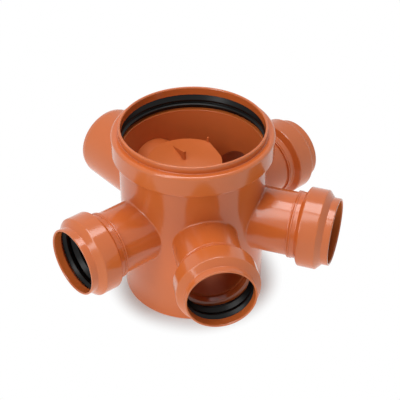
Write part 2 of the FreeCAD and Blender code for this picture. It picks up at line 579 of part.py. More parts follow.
def make_trap_cap():
    """Rodding cap that plugs the top of the dip leg, with its plate, grip fin and stop peg."""
    body = new_body("trap_cap")
    plate = draw_cap_plate(new_sketch(body, "plate_outline", "XY_Plane"))
    extrude(body, "Pad", "plate", plate, "sizes.cap_wall")
    ring_upper = f"({RING_GROOVE_HALF} - sizes.cap_ring_setback)"
    ring_lower = f"(-{RING_GROOVE_HALF} - sizes.cap_ring_setback)"
    ring_floor = f"({TRAP_LEG_BORE} - {RING_GROOVE_DEPTH})"
    plug_hollow = f"({CAP_PLUG} - sizes.cap_plug_wall)"
    plug = draw_outline(new_sketch(body, "plug_section", "XZ_Plane"), [
        (plug_hollow, "0"),
        (plug_hollow, "-sizes.cap_plug_depth"),
        (CAP_PLUG, "-sizes.cap_plug_depth"),
        (CAP_PLUG, ring_lower),
        (ring_floor, ring_lower),
        (ring_floor, ring_upper),
        (CAP_PLUG, ring_upper),
        (CAP_PLUG, "0"),
    ])
    turn(body, "Revolution", "plug", plug, "V_Axis")
    fin_end = "(sizes.fin_start + sizes.fin_length)"
    fin = draw_outline(new_sketch(body, "fin_outline", "YZ_Plane", lifted="-sizes.fin_offset"), [
        ("sizes.fin_start", "sizes.cap_wall"),
        (fin_end, "sizes.cap_wall"),
        ("sizes.fin_start", "sizes.cap_wall + sizes.fin_height"),
    ])
    extrude(body, "Pad", "fin", fin, "sizes.fin_thickness", both_ways=True)
    peg = draw_circle(new_sketch(body, "peg_outline", "XY_Plane", lifted="sizes.cap_wall"),
                      f"{CAP_SIDE} - sizes.peg_inset", "sizes.peg_place", "sizes.peg_diameter / 2")
    extrude(body, "Pad", "peg", peg, "sizes.peg_height")
    body.Placement = FreeCAD.Placement(FreeCAD.Vector(), FreeCAD.Rotation(UP, value("-sizes.cap_turn")))
    body.setExpression("Placement.Rotation.Angle", "-sizes.cap_turn")
    body.setExpression("Placement.Base.y", "sizes.trap_leg_offset")
    body.setExpression("Placement.Base.z", TRAP_TOP)
    return body


def main():
    """Builds every piece, checks it and writes it out."""
    inlets = range(1, INLET_COUNT + 1)
    pieces = [make_gully_body()]
    pieces += [make_inlet_socket(number) for number in inlets]
    pieces += [make_inlet_seal(number) for number in inlets]
    pieces.append(make_riser_seal())
    pieces.append(make_trap_tee())
    pieces.append(make_ring("trap_ring", OUTLET_BORE, TRAP_RING_PLACE,
                            "sizes.outlet_axis_height", -QUARTER_TURN))
    pieces.append(make_trap_cap())
    pieces.append(make_ring("cap_ring", TRAP_LEG_BORE, "sizes.trap_leg_offset",
                            f"{TRAP_TOP} - sizes.cap_ring_setback", 0))
    doc.recompute()
    for item in doc.Objects:
        if "Invalid" in item.State or "Error" in item.State:
            raise RuntimeError(f"{item.Label} failed: {item.State}")
    os.makedirs("parts", exist_ok=True)
    for piece in pieces:
        if piece.Shape.isNull() or not piece.Shape.isValid():
            raise RuntimeError(f"{piece.Label} has no valid shape")
        piece.Shape.exportStep(f"parts/{piece.Label}.step")
        print(piece.Label, len(piece.Shape.Solids), round(piece.Shape.Volume / 1000, 2), "cm3")


main()
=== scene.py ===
import json
import logging
import math
from collections.abc import Sequence
from dataclasses import dataclass
from enum import Enum

import bmesh
import bpy
import numpy as np
from mathutils import Matrix, Quaternion, Vector
from mathutils.geometry import delaunay_2d_cdt


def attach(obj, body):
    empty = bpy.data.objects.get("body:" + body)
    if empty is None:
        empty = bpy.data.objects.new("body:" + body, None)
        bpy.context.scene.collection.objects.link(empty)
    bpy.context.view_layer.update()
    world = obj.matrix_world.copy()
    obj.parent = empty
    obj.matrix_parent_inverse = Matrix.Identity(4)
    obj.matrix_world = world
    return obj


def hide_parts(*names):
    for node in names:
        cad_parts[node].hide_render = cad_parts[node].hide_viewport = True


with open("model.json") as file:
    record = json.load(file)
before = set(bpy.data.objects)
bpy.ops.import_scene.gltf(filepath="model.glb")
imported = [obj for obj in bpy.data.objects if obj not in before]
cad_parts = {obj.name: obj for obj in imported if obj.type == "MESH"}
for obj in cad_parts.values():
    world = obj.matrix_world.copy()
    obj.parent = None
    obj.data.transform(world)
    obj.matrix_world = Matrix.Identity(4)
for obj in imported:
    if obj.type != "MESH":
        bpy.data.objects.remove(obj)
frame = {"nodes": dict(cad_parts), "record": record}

LOG = logging.getLogger("gully")
CORE_SIDE = "core_side"
WHITE = "FFFFFF"
# Metres in a millimetre. The parts' sizes are in millimetres, the studio's in metres unless named otherwise.
MM = 0.001
# Points of a mesh that are closer than this are one point.
MERGE = 0.002
# Points that are this close to a bore lie on it.
NEAR = 0.1
# The largest share of a straight run that the rounding at one of its ends takes up.
ROUNDING_SHARE = 0.45
# The places of the mix node's sockets, which have the same names for numbers and for colours.
NUMBER_A, NUMBER_B, NUMBER_OUT = 2, 3, 0
COLOUR_A, COLOUR_B, COLOUR_OUT = 6, 7, 2


class Slot(Enum):
    """The record's material slots."""

    PVC = "terracotta_pvc"
    RUBBER = "black_rubber"


class Edge(Enum):
    """The angle between two faces, in degrees, above which their edge shades as a sharp one."""

    BEVELLED = 25.0
    MOULDED = 32.0


# Small helpers

def linear(code: str) -> tuple[float, float, float, float]:
    """Turns an sRGB hex colour into linear light.

    Args:
        code: The colour as six hex digits.

    Returns:
        Red, green, blue and a full alpha for a shader socket.
    """
    values = [int(code[k:k + 2], 16) / 255.0 for k in (0, 2, 4)]
    red, green, blue = [v / 12.92 if v <= 0.04045 else ((v + 0.055) / 1.055) ** 2.4 for v in values]
    return red, green, blue, 1.0


def add_node(tree: bpy.types.NodeTree, kind: str, sockets: dict | None = None,
             **settings: object) -> bpy.types.Node:
    """Adds one node, with its settings, to a node tree.

    Args:
        tree: The tree that takes the node.
        kind: The node's type name.
        sockets: Input name or index to a value, or to the output socket that feeds it.
        settings: The node's own options by name.

    Returns:
        The new node.
    """
    node = tree.nodes.new(kind)
    for name, value in settings.items():
        setattr(node, name, value)
    for name, value in (sockets or {}).items():
        if isinstance(value, bpy.types.NodeSocket):
            tree.links.new(value, node.inputs[name])
        else:
            node.inputs[name].default_value = value
    return node


def white_ray(tree: bpy.types.NodeTree) -> bpy.types.NodeSocket:
    """Tells the rays that see the white surroundings themselves: the camera's, and those in gloss and glass.

    Args:
        tree: The tree that takes the nodes.

    Returns:
        An output of 1 for those rays and of 0 for the others.
    """
    ray = add_node(tree, "ShaderNodeLightPath").outputs
    first = add_node(tree, "ShaderNodeMath", {
        0: ray["Is Camera Ray"], 1: ray["Is Glossy Ray"]}, operation="MAXIMUM")
    both = add_node(tree, "ShaderNodeMath", {
        0: first.outputs[0], 1: ray["Is Transmission Ray"]}, operation="MAXIMUM")
    return both.outputs[0]


def own_mesh(name: str, mesh: bpy.types.Mesh, edge: Edge) -> bpy.types.Mesh:
    """Closes a mesh's seams, turns its normals outward and shades it.

    Args:
        name: The mesh's new name.
        mesh: The mesh, in metres.
        edge: How its edges shade.

    Returns:
        The same mesh.
    """
    work = bmesh.new()
    work.from_mesh(mesh)
    bmesh.ops.remove_doubles(work, verts=work.verts, dist=MERGE * MM)
    bmesh.ops.dissolve_degenerate(work, edges=work.edges, dist=MERGE * MM)
    bmesh.ops.recalc_face_normals(work, faces=work.faces)
    work.to_mesh(mesh)
    work.free()
    mesh.name = name
    mesh.shade_smooth()
    mesh.set_sharp_from_angle(angle=math.radians(edge.value))
    return mesh


def show(piece: bpy.types.Object, slot: Slot, *nodes: str) -> None:
    """Puts a finished piece on the frame in the place of its CAD nodes.

    Args:
        piece: The piece, in place.
        slot: The record's slot of the piece; not used.
        nodes: The CAD nodes it stands for.
    """
    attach(piece, "root")
    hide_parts(*nodes)
    LOG.info("%s: %d faces", piece.name, len(piece.data.polygons))


# Finishes

@dataclass(frozen=True)
class Finish:
    """A moulded finish: two close colours that drift into each other, over the grain of the mould."""

    name: str
    colour: str
    drift_colour: str
    roughness: float
    ior: float
    drift_mm: float
    drift_detail: float
    drift_breakup: float
    drift_swirl: float
    grain_mm: float
    grain_height_mm: float
    grain_strength: float
    grain_detail: float = 2.0

    def ground(self) -> tuple[bpy.types.Material, bpy.types.Node, bpy.types.NodeSocket]:
        """Starts the material with its colours and its grain.

        Returns:
            The new material, its shader and the pattern by which its colour drifts.
        """
        material = bpy.data.materials.new(self.name)
        material.use_nodes = True
        tree = material.node_tree
        shader = tree.nodes["Principled BSDF"]
        place = add_node(tree, "ShaderNodeTexCoord").outputs["Object"]
        drift = add_node(tree, "ShaderNodeTexNoise", {
            "Vector": place, "Scale": 1.0 / (self.drift_mm * MM), "Detail": self.drift_detail,
            "Roughness": self.drift_breakup, "Distortion": self.drift_swirl})
        tint = add_node(tree, "ShaderNodeMix", {
            "Factor": drift.outputs["Fac"], COLOUR_A: linear(self.colour),
            COLOUR_B: linear(self.drift_colour)}, data_type="RGBA")
        grain = add_node(tree, "ShaderNodeTexNoise", {
            "Vector": place, "Scale": 1.0 / (self.grain_mm * MM), "Detail": self.grain_detail})
        bump = add_node(tree, "ShaderNodeBump", {
            "Height": grain.outputs["Fac"], "Strength": self.grain_strength,
            "Distance": self.grain_height_mm * MM})
        tree.links.new(tint.outputs[COLOUR_OUT], shader.inputs["Base Color"])
        tree.links.new(bump.outputs["Normal"], shader.inputs["Normal"])
        shader.inputs["Roughness"].default_value = self.roughness
        shader.inputs["IOR"].default_value = self.ior
        return material, shader, drift.outputs["Fac"]


@dataclass(frozen=True)
class MouldedPvc(Finish):
    """Moulded PVC-U: a warm, even orange brown with a clear gloss and a faint flow in the colour."""

    name: str = "moulded_pvc_u"
    colour: str = "CA6830"
    drift_colour: str = "C6642E"
    roughness: float = 0.15
    ior: float = 1.53
    drift_mm: float = 70.0
    drift_detail: float = 3.0
    drift_breakup: float = 0.55
    drift_swirl: float = 0.6
    # The grain of a mould is some 0.2 mm wide. That is too fine to show, so it is drawn coarser.
    grain_mm: float = 1.6
    grain_height_mm: float = 0.012
    grain_strength: float = 0.35
    roughness_spread: float = 0.05
    spread_from: float = 0.3
    spread_to: float = 0.7
    core_roughness: float = 0.35

    def material(self) -> bpy.types.Material:
        """Builds the material, whose gloss drifts with the colour and is matt on the side of the core.

        Returns:
            The new material.
        """
        material, shader, drift = self.ground()
        tree = material.node_tree
        low = self.roughness - 0.5 * self.roughness_spread
        gloss = add_node(tree, "ShaderNodeMapRange", {
            "Value": drift, "From Min": self.spread_from, "From Max": self.spread_to,
            "To Min": low, "To Max": low + self.roughness_spread})
        # The mould's core is polished less than its cavity, so the inside of the body is matt.
        core = add_node(tree, "ShaderNodeAttribute", attribute_name=CORE_SIDE)
        matt = add_node(tree, "ShaderNodeMath", {
            0: core.outputs["Fac"], 1: self.core_roughness, 2: gloss.outputs["Result"]},
            operation="MULTIPLY_ADD")
        tree.links.new(matt.outputs[0], shader.inputs["Roughness"])
        return material


@dataclass(frozen=True)
class EpdmRubber(Finish):
    """Moulded EPDM rubber: near black with a faint bloom, and a broad grey sheen where light grazes it."""

    name: str = "epdm_rubber"
    colour: str = "050505"
    drift_colour: str = "090A09"
    roughness: float = 0.32
    ior: float = 1.52
    drift_mm: float = 9.0
    drift_detail: float = 4.0
    drift_breakup: float = 0.5
    drift_swirl: float = 0.0
    # The grain of rubber is some 0.1 mm wide. That is too fine to show, so it is drawn coarser.
    grain_mm: float = 0.7
    grain_height_mm: float = 0.02
    grain_strength: float = 0.4
    specular: float = 0.2

    def material(self) -> bpy.types.Material:
        """Builds the material, whose gloss the bloom weakens.

        Returns:
            The new material.
        """
        material, shader, _ = self.ground()
        shader.inputs["Specular IOR Level"].default_value = self.specular
        return material


# Turned sections

@dataclass(frozen=True)
class Corner:
    """A corner of a turned section: its places along the axis and out from it, and its rounding."""

    along: float
    out: float
    rounding: float = 0.0


def behind(mouth: float, spots: Sequence[tuple[float, float, float]]) -> list[Corner]:
    """Corners of a socket, measured from its mouth.

    Args:
        mouth: The mouth's place along the axis.
        spots: Each corner's depth behind the mouth, its radius and its rounding.

    Returns:
        The corners in the same order.
    """
    return [Corner(mouth - depth, out, rounding) for depth, out, rounding in spots]


def swing(start: np.ndarray, end: np.ndarray, turn: float | np.ndarray, share: float) -> np.ndarray:
    """Swings an arm towards another one of the same length.

    Args:
        start: The arm, or rows of arms.
        end: Where it swings to.
        turn: The angle between the two.
        share: How much of that angle it swings.

    Returns:
        The arm after its swing.
    """
    return (np.sin((1 - share) * turn) * start + np.sin(share * turn) * end) / np.sin(turn)


def section(corners: Sequence[Corner], closed: bool, step: float = 16.0, guard: float = 0.7) -> np.ndarray:
    """Rounds the corners of a section.

    Args:
        corners: The corners in order.
        closed: Whether the last corner joins the first again.
        step: The largest turn between two points of a rounding, in degrees.
        guard: How far from a rounding the straight run gets a point that keeps it straight.

    Returns:
        Rows of (along, out). A closed section ends on its first point.
    """
    spots = [np.array((c.along, c.out)) for c in corners]
    count = len(spots)
    points = []
    for k, corner in enumerate(corners):
        here = spots[k]
        inner = closed or 0 < k < count - 1
        if not inner or corner.rounding == 0.0:
            points.append(here)
            continue
        back = spots[k - 1] - here
        ahead = spots[(k + 1) % count] - here
        back_length, ahead_length = np.linalg.norm(back), np.linalg.norm(ahead)
        back, ahead = back / back_length, ahead / ahead_length
        half = 0.5 * math.acos(float(np.clip(back @ ahead, -1.0, 1.0)))
        limit = ROUNDING_SHARE * min(back_length, ahead_length)
        reach = min(corner.rounding / math.tan(half), limit)
        radius = reach * math.tan(half)
        middle = back + ahead
        centre = here + middle / np.linalg.norm(middle) * radius / math.sin(half)
        start, end = here + back * reach - centre, here + ahead * reach - centre
        turn = math.pi - 2.0 * half
        steps = max(2, math.ceil(math.degrees(turn) / step))
        if back_length * (1.0 - ROUNDING_SHARE) - reach > guard:
            points.append(here + back * (reach + guard))
        points.extend(centre + swing(start, end, turn, n / steps) for n in range(steps + 1))
        if ahead_length * (1.0 - ROUNDING_SHARE) - reach > guard:
            points.append(here + ahead * (reach + guard))
    if closed:
        points.append(points[0])
    return np.array(points)


class Lathe:
    """Turns sections about an axis with one Geometry Nodes tree, shared by every turned piece."""

    def __init__(self) -> None:
        """Builds the tree."""
        tree = bpy.data.node_groups.new("TurnedForm", "GeometryNodeTree")
        face = tree.interface
        face.new_socket("Section", in_out="INPUT", socket_type="NodeSocketGeometry")
        kinds = {"Steps": "NodeSocketInt", "Turn": "NodeSocketVector", "Place": "NodeSocketVector",
                 "Material": "NodeSocketMaterial"}
        self.inputs = {name: face.new_socket(name, in_out="INPUT", socket_type=kind).identifier
                       for name, kind in kinds.items()}
        face.new_socket("Form", in_out="OUTPUT", socket_type="NodeSocketGeometry")
        given = add_node(tree, "NodeGroupInput").outputs
        size = add_node(tree, "GeometryNodeAttributeDomainSize", {"Geometry": given["Section"]})
        columns = add_node(tree, "FunctionNodeIntegerMath", {0: given["Steps"], 1: 1}, operation="ADD")
        grid = add_node(tree, "GeometryNodeMeshGrid", {
            "Vertices X": size.outputs["Point Count"], "Vertices Y": columns.outputs[0]})
        index = add_node(tree, "GeometryNodeInputIndex")
        row = add_node(tree, "FunctionNodeIntegerMath", {
            0: index.outputs[0], 1: columns.outputs[0]}, operation="DIVIDE_FLOOR")
        column = add_node(tree, "FunctionNodeIntegerMath", {
            0: index.outputs[0], 1: columns.outputs[0]}, operation="MODULO")
        place = add_node(tree, "GeometryNodeInputPosition")
        taken = add_node(tree, "GeometryNodeSampleIndex", {
            "Geometry": given["Section"], "Value": place.outputs[0], "Index": row.outputs[0]},
            data_type="FLOAT_VECTOR", domain="POINT")
        part = add_node(tree, "ShaderNodeSeparateXYZ", {0: taken.outputs[0]})
        share = add_node(tree, "ShaderNodeMath", {0: math.tau, 1: given["Steps"]}, operation="DIVIDE")
        angle = add_node(tree, "ShaderNodeMath", {
            0: column.outputs[0], 1: share.outputs[0]}, operation="MULTIPLY")
        spread = {}
        for axis, wave in (("X", "COSINE"), ("Y", "SINE")):
            ratio = add_node(tree, "ShaderNodeMath", {0: angle.outputs[0]}, operation=wave)
            spread[axis] = add_node(tree, "ShaderNodeMath", {
                0: part.outputs["X"], 1: ratio.outputs[0]}, operation="MULTIPLY").outputs[0]
        spot = add_node(tree, "ShaderNodeCombineXYZ", {**spread, "Z": part.outputs["Z"]})
        turned = add_node(tree, "ShaderNodeVectorRotate", {
            "Vector": spot.outputs[0], "Rotation": given["Turn"]}, rotation_type="EULER_XYZ")
        moved = add_node(tree, "ShaderNodeVectorMath", {
            0: turned.outputs[0], 1: given["Place"]}, operation="ADD")
        formed = add_node(tree, "GeometryNodeSetPosition", {
            "Geometry": grid.outputs["Mesh"], "Position": moved.outputs[0]})
        merged = add_node(tree, "GeometryNodeMergeByDistance", {
            "Geometry": formed.outputs[0], "Distance": MERGE * MM})
        real = add_node(tree, "GeometryNodeRealizeInstances", {"Geometry": merged.outputs[0]})
        painted = add_node(tree, "GeometryNodeSetMaterial", {
            "Geometry": real.outputs[0], "Material": given["Material"]})
        add_node(tree, "NodeGroupOutput", {0: painted.outputs[0]})
        self.tree = tree

    def piece(self, name: str, corners: Sequence[Corner], turn: Vector, place: Vector,
              material: bpy.types.Material, steps: int) -> bpy.types.Object:
        """Turns one closed section.

        Args:
            name: The new object's name.
            corners: The closed section's corners.
            turn: Euler angles that bring the axis from Z to its direction.
            place: Where the axis starts, in metres.
            material: The piece's material.
            steps: The number of steps in a full turn.

        Returns:
            The piece as a plain mesh, with its place in its vertices.
        """
        outline = section(corners, closed=True) * MM
        line = bpy.data.meshes.new(name + "_section")
        line.from_pydata([(out, 0.0, along) for along, out in outline], [], [])
        piece = bpy.data.objects.new(name, line)
        bpy.context.collection.objects.link(piece)
        modifier = piece.modifiers.new("turned", "NODES")
        modifier.node_group = self.tree
        for key, value in (("Steps", steps), ("Turn", turn), ("Place", place), ("Material", material)):
            modifier[self.inputs[key]] = value
        mesh = bpy.data.meshes.new_from_object(piece.evaluated_get(bpy.context.evaluated_depsgraph_get()))
        piece.modifiers.clear()
        piece.data = own_mesh(name, mesh, Edge.MOULDED)
        bpy.data.meshes.remove(line)
        return piece


# The chamber's skin

@dataclass(frozen=True)
class Wall:
    """A drum's slightly tapered wall."""

    low: float
    low_radius: float
    high: float
    high_radius: float

    @property
    def slope(self) -> float:
        """How much the radius grows for each step upward."""
        return (self.high_radius - self.low_radius) / (self.high - self.low)

    def radius(self, height: float | np.ndarray) -> float | np.ndarray:
        """The wall's radius at a height, or at an array of heights."""
        return self.low_radius + self.slope * (height - self.low)


@dataclass(frozen=True)
class Branch:
    """A round branch of the chamber: where it points, its tube, and the section of its open end."""

    azimuth: float
    height: float
    outside: float
    bore: float
    end: tuple[Corner, ...]
    count: int

    @property
    def angles(self) -> np.ndarray:
        """The angles round the branch's axis at which its skin has points."""
        return np.arange(self.count) * math.tau / self.count

    def circle(self, radius: float) -> tuple[np.ndarray, np.ndarray]:
        """A circle about the branch's axis: how far its points lie beside the axis, and their heights."""
        return radius * np.cos(self.angles), self.height + radius * np.sin(self.angles)

    def spots(self, along: float, out: float) -> np.ndarray:
        """A ring of points about the branch's axis, in the object's frame."""
        side, rise = self.circle(out)
        return self.world(np.full_like(side, along), side, rise)

    def world(self, along: np.ndarray, side: np.ndarray, rise: np.ndarray) -> np.ndarray:
        """Points given along, beside and above the branch's direction, in the object's frame."""
        c, s = math.cos(self.azimuth), math.sin(self.azimuth)
        return np.stack([along * c - side * s, along * s + side * c, rise], axis=-1)

    def root(self, wall: Wall, blend: float, steps: int) -> list[np.ndarray]:
        """Rows of the moulded blend between the wall and the tube, as a ball rolls in the corner.

        Args:
            wall: The wall's outside.
            blend: The blend's radius.
            steps: The number of steps across the blend.

        Returns:
            Rings of points from the wall to the tube.
        """
        side, rise = self.circle(self.outside + blend)
        lean = math.hypot(1.0, wall.slope)
        radius = wall.radius(rise) + blend * lean
        centre = np.stack([np.sqrt(radius ** 2 - side ** 2), side, rise], axis=-1)
        fall = np.full_like(side, -wall.slope)
        outward = np.stack([centre[:, 0] / radius, side / radius, fall], axis=-1) / lean
        start = -outward
        end = np.stack([np.zeros_like(side), -np.cos(self.angles), -np.sin(self.angles)], axis=-1)
        turn = np.arccos(np.clip((start * end).sum(-1), -1.0, 1.0))[:, None]
        rows = [centre + blend * swing(start, end, turn, k / steps) for k in range(steps + 1)]
        return [self.world(*row.T) for row in rows]

    def opening(self, wall: Wall) -> np.ndarray:
        """The ring where the bore breaks through the wall's inside."""
        side, rise = self.circle(self.bore)
        return self.world(np.sqrt(wall.radius(rise) ** 2 - side ** 2), side, rise)


class Skin:
    """Collects the patches of one closed skin."""

    def __init__(self) -> None:
        """Starts with no patch."""
        self.points: list[np.ndarray] = []
        self.faces: list[tuple[int, ...]] = []
        self.core: list[np.ndarray] = []
        self.count = 0

    def patch(self, points: np.ndarray, faces: Sequence[Sequence[int]], core: np.ndarray) -> None:
        """Adds points and the faces between them.

        Args:
            points: The points.
            faces: Each face's points by their place in the list.
            core: 1 for each point on the side of the mould's core, 0 for the others.
        """
        self.faces.extend(tuple(self.count + k for k in face) for face in faces)
        self.points.append(points)
        self.core.append(core)
        self.count += len(points)

    def strip(self, rows: Sequence[np.ndarray], core: Sequence[bool]) -> None:
        """Adds the quads between rings of equally many points.

        Args:
            rows: The rings in order.
            core: Which of them lie on the side of the mould's core.
        """
        size = len(rows[0])
        faces = []
        for r in range(len(rows) - 1):
            for k in range(size):
                n = (k + 1) % size
                faces.append((r * size + k, r * size + n, (r + 1) * size + n, (r + 1) * size + k))
        self.patch(np.concatenate(rows), faces, np.repeat(np.asarray(core, float), size))

    def piece(self, name: str, material: bpy.types.Material) -> bpy.types.Object:
        """Makes the closed skin an object.

        Args:
            name: The object's name.
            material: Its material.

        Returns:
            The object, with the core's side as an attribute of its points.
        """
        mesh = bpy.data.meshes.new(name)
        mesh.from_pydata((np.concatenate(self.points) * MM).tolist(), [], self.faces)
        mesh.materials.append(material)
        mark = mesh.attributes.new(CORE_SIDE, "FLOAT", "POINT")
        mark.data.foreach_set("value", np.concatenate(self.core).astype(np.float32))
        piece = bpy.data.objects.new(name, own_mesh(name, mesh, Edge.MOULDED))
        bpy.context.collection.objects.link(piece)
        return piece


@dataclass(frozen=True)
class PiercedWall:
    """A drum wall with round openings, meshed on its unrolled face."""

    wall: Wall
    low: float
    high: float
    azimuths: np.ndarray
    spacing: float
    core: bool
    # The share of the spacing that the grid's points keep from an opening's edge.
    edge_share: float = 0.45
    # What the triangulation takes for one point, and its option to fill the whole outline with triangles.
    tolerance: float = 1e-6
    whole_outline: int = 0

    def build(self, skin: Skin, holes: Sequence[np.ndarray]) -> None:
        """Meshes the wall round its openings.

        Args:
            skin: The skin that takes the patch.
            holes: The rings of points at the openings' edges, in the object's frame.
        """
        scale = self.wall.radius(0.5 * (self.low + self.high))
        loops = [self.unrolled(ring, scale) for ring in holes]
        rows = np.linspace(self.low, self.high, round((self.high - self.low) / self.spacing) + 1)
        grid = np.stack(np.meshgrid(self.azimuths * scale, rows), axis=-1).reshape(-1, 2)
        for loop in loops:
            grid = grid[~self.inside(grid, loop, self.edge_share * self.spacing)]
        flat = np.concatenate([grid, *loops])
        edges = []
        first = len(grid)
        for loop in loops:
            size = len(loop)
            edges.extend((first + k, first + (k + 1) % size) for k in range(size))
            first += size
        points, _, faces, *_ = delaunay_2d_cdt(
            [Vector(p) for p in flat.tolist()], edges, [], self.whole_outline, self.tolerance, False)
        points = np.array([tuple(p) for p in points])
        faces = np.array([tuple(f) for f in faces])
        middles = points[faces].mean(axis=1)
        kept = np.ones(len(faces), bool)
        for loop in loops:
            kept &= ~self.inside(middles, loop, 0.0)
        turn, rise = points[:, 0] / scale, points[:, 1]
        radius = self.wall.radius(rise)
        wall = np.stack([radius * np.cos(turn), radius * np.sin(turn), rise], axis=-1)
        skin.patch(wall, faces[kept].tolist(), np.full(len(wall), float(self.core)))

    def unrolled(self, ring: np.ndarray, scale: float) -> np.ndarray:
        """Lays a ring on the wall flat, from the seam on.

        Args:
            ring: Its points, in the object's frame.
            scale: The radius at which the wall is unrolled.

        Returns:
            Rows of (way round the wall, height).
        """
        turn = np.arctan2(ring[:, 1], ring[:, 0])
        turn = self.azimuths[0] + np.mod(turn - self.azimuths[0], math.tau)
        return np.stack([turn * scale, ring[:, 2]], axis=-1)

    @staticmethod
    def inside(points: np.ndarray, loop: np.ndarray, margin: float) -> np.ndarray:
        """Tells which points lie in an opening or within a margin of its edge.

        Args:
            points: Points on the unrolled wall.
            loop: The opening's edge there.
            margin: The margin.

        Returns:
            One truth value for each point.
        """
        centre = loop.mean(axis=0)
        edge, spot = loop - centre, points - centre
        edge_turn = np.arctan2(edge[:, 1], edge[:, 0])
        order = np.argsort(edge_turn)
        reach = np.interp(np.arctan2(spot[:, 1], spot[:, 0]), edge_turn[order],
                          np.hypot(edge[:, 0], edge[:, 1])[order], period=math.tau)
        return np.hypot(spot[:, 0], spot[:, 1]) < reach + margin


# The parts

@dataclass(frozen=True)
class Inlet:
    """One of the side inlets, as the record states it."""

    number: int
    azimuth: float
    height: float
    bore: float

    @classmethod
    def from_record(cls, record: dict) -> list["Inlet"]:
        """Reads the inlets from the record's mounts.

        Args:
            record: The part's record.

        Returns:
            The inlets in the record's order.
        """
        found = []
        for mount in record["mounts"]:
            if mount["name"].startswith("inlet_"):
                number = int(mount["name"].removeprefix("inlet_"))
                azimuth = math.atan2(mount["axis"][1], mount["axis"][0])
                found.append(cls(number, azimuth, mount["pos_m"][2] / MM, mount["dims"]["r_mm"]))
        return found


@dataclass(frozen=True)
class Groove:
    """A socket's seal groove: its start behind the mouth, its slopes, and its floor's width and radius."""

    start: float
    front: float
    band: float
    back: float
    radius: float

    @property
    def floor_start(self) -> float:
        """How far behind the mouth the floor starts."""
        return self.start + self.front

    @property
    def floor_end(self) -> float:
        """How far behind the mouth the floor ends."""
        return self.floor_start + self.band

    @property
    def end(self) -> float:
        """How far behind the mouth the groove ends."""
        return self.floor_end + self.back


